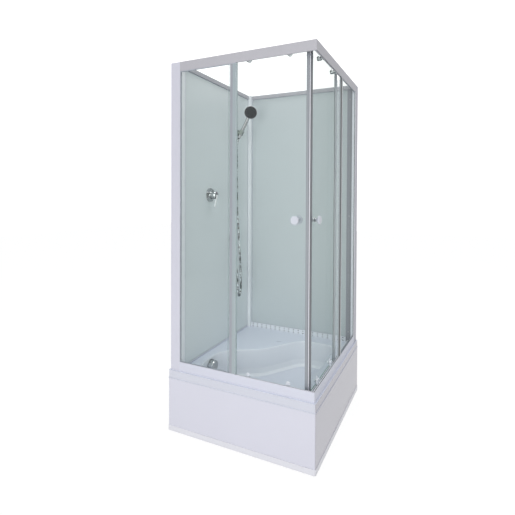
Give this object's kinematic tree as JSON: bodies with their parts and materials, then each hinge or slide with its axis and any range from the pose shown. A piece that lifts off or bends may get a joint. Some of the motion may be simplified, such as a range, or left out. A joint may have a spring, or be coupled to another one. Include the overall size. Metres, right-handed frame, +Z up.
{
  "type": "shower enclosure",
  "caption": "Square corner shower cabin with a deep seated tray, sliding corner-entry doors, mixer and hand shower.",
  "frame": {"origin": "on the floor, at the middle of the centre levelling foot's underside, under the tray's centre", "axes": "+X along the front door side towards the entry corner, +Y from the front to the back wall, +Z up"},
  "size_m": [0.9, 0.9, 2.11],
  "materials": {
    "acrylic": "smooth white acrylic",
    "panel": "smooth white panel",
    "frame_steel": "zinc plated",
    "bolt_steel": "zinc plated",
    "foot_plastic": "moulded, light grey",
    "waste_plastic": "moulded, white",
    "profile": "satin anodised",
    "clear_glass": "clear tempered",
    "wall_glass": "grey tinted tempered",
    "seal": "translucent vinyl",
    "chrome": "polished",
    "wheel_plastic": "acetal",
    "guide_plastic": "moulded, white",
    "knob_plastic": "smooth white",
    "brass": "cast and machined",
    "pipe": "braided steel pipe",
    "bracket": "satin grey",
    "handset_shell": "polished",
    "spray": "dark grey, with nozzles",
    "hose": "spiral wound, polished"
  },
  "bodies": {
    "cabin": {"tray_deck": "acrylic", "tray_basin": "acrylic", "apron_panel": "panel", "apron_plinth": "panel", "frame_perimeter_beams": "frame_steel", "frame_cross_beams": "frame_steel", "frame_uprights": "frame_steel", "foot_pads": "foot_plastic", "foot_studs_and_nuts": "bolt_steel", "apron_clips": "foot_plastic", "drain_flange": "chrome", "drain_trap": "waste_plastic", "overflow_pipe": "waste_plastic", "overflow_rosette": "chrome", "post_front_left": "profile", "post_rear_right": "profile", "post_rear_corner": "profile", "wall_edge_profiles": "profile", "profile_screws": "bolt_steel", "wall_top_rails": "profile", "wall_bottom_rail_left": "profile", "wall_bottom_rail_back": "profile", "wall_panel_left": "wall_glass", "wall_panel_back": "wall_glass", "corner_brackets": "frame_steel", "fixed_glass_seals": "seal", "top_rail_front": "profile", "top_rail_right": "profile", "bottom_rail_front": "profile", "bottom_rail_right": "profile", "fixed_glass_front": "clear_glass", "fixed_glass_right": "clear_glass", "mixer_valve": "brass", "mixer_escutcheon": "chrome", "feed_pipe": "pipe", "wall_outlet": "chrome", "holder_bracket": "bracket", "shower_hose": "hose"},
    "door_front": {"door_glass_front": "clear_glass", "door_seals_front": "seal", "door_knob_front": "knob_plastic", "roller_carriers_front": "chrome", "guide_clips_front": "guide_plastic"},
    "door_right": {"door_glass_right": "clear_glass", "door_seals_right": "seal", "door_knob_right": "knob_plastic", "roller_carriers_right": "chrome", "guide_clips_right": "guide_plastic"},
    "wheel_front_near": {"wheel_front_near": "wheel_plastic"},
    "wheel_front_far": {"wheel_front_far": "wheel_plastic"},
    "wheel_right_near": {"wheel_right_near": "wheel_plastic"},
    "wheel_right_far": {"wheel_right_far": "wheel_plastic"},
    "mixer_cap": {"mixer_cap": "chrome"},
    "mixer_lever": {"mixer_lever": "chrome"},
    "shower_holder": {"holder_cup": "bracket", "handset_body": "handset_shell", "spray_face": "spray", "cone_nut": "chrome"},
    "overflow_knob": {"overflow_knob": "chrome"},
    "drain_plug": {"drain_plug": "chrome"}
  },
  "joints": [
    {"name": "door_front_slide", "type": "slide", "parent": "cabin", "child": "door_front", "axis": [-1, 0, 0], "range_m": [0, 0.31]},
    {"name": "wheel_front_near_spin", "type": "hinge", "parent": "door_front", "child": "wheel_front_near", "pos_m": [0.28, -0.4257, 2.073], "axis": [0, -1, 0], "continuous": true},
    {"name": "wheel_front_far_spin", "type": "hinge", "parent": "door_front", "child": "wheel_front_far", "pos_m": [0.046, -0.4257, 2.073], "axis": [0, -1, 0], "continuous": true},
    {"name": "door_right_slide", "type": "slide", "parent": "cabin", "child": "door_right", "axis": [0, 1, 0], "range_m": [0, 0.31]},
    {"name": "wheel_right_near_spin", "type": "hinge", "parent": "door_right", "child": "wheel_right_near", "pos_m": [0.4257, -0.28, 2.073], "axis": [-1, 0, 0], "continuous": true},
    {"name": "wheel_right_far_spin", "type": "hinge", "parent": "door_right", "child": "wheel_right_far", "pos_m": [0.4257, -0.046, 2.073], "axis": [-1, 0, 0], "continuous": true},
    {"name": "mixer_turn", "type": "hinge", "parent": "cabin", "child": "mixer_cap", "pos_m": [-0.35, -0.131, 1.359], "axis": [1, 0, 0], "range_deg": [-25, 65]},
    {"name": "mixer_lever_lift", "type": "hinge", "parent": "mixer_cap", "child": "mixer_lever", "pos_m": [-0.3452, -0.131, 1.359], "axis": [0, -0.9397, 0.342], "range_deg": [0, 25]},
    {"name": "holder_swivel", "type": "hinge", "parent": "cabin", "child": "shower_holder", "pos_m": [-0.328, 0.163, 1.799], "axis": [1, 0, 0], "range_deg": [-25, 25], "deforming": ["shower_hose"]},
    {"name": "overflow_turn", "type": "hinge", "parent": "cabin", "child": "overflow_knob", "pos_m": [-0.321, -0.2148, 0.304], "axis": [1, 0, 0], "range_deg": [0, 90]},
    {"name": "plug_lift", "type": "slide", "parent": "cabin", "child": "drain_plug", "axis": [0, 0, 1], "range_m": [0, 0.01]}
  ],
  "couplings": [
    {"joint": "wheel_front_near_spin", "follows": "door_front_slide", "rad_per_m": 105.26},
    {"joint": "wheel_front_far_spin", "follows": "door_front_slide", "rad_per_m": 105.26},
    {"joint": "wheel_right_near_spin", "follows": "door_right_slide", "rad_per_m": 105.26},
    {"joint": "wheel_right_far_spin", "follows": "door_right_slide", "rad_per_m": 105.26},
    {"joint": "plug_lift", "follows": "overflow_turn", "m_per_rad": 0.0063662}
  ]
}
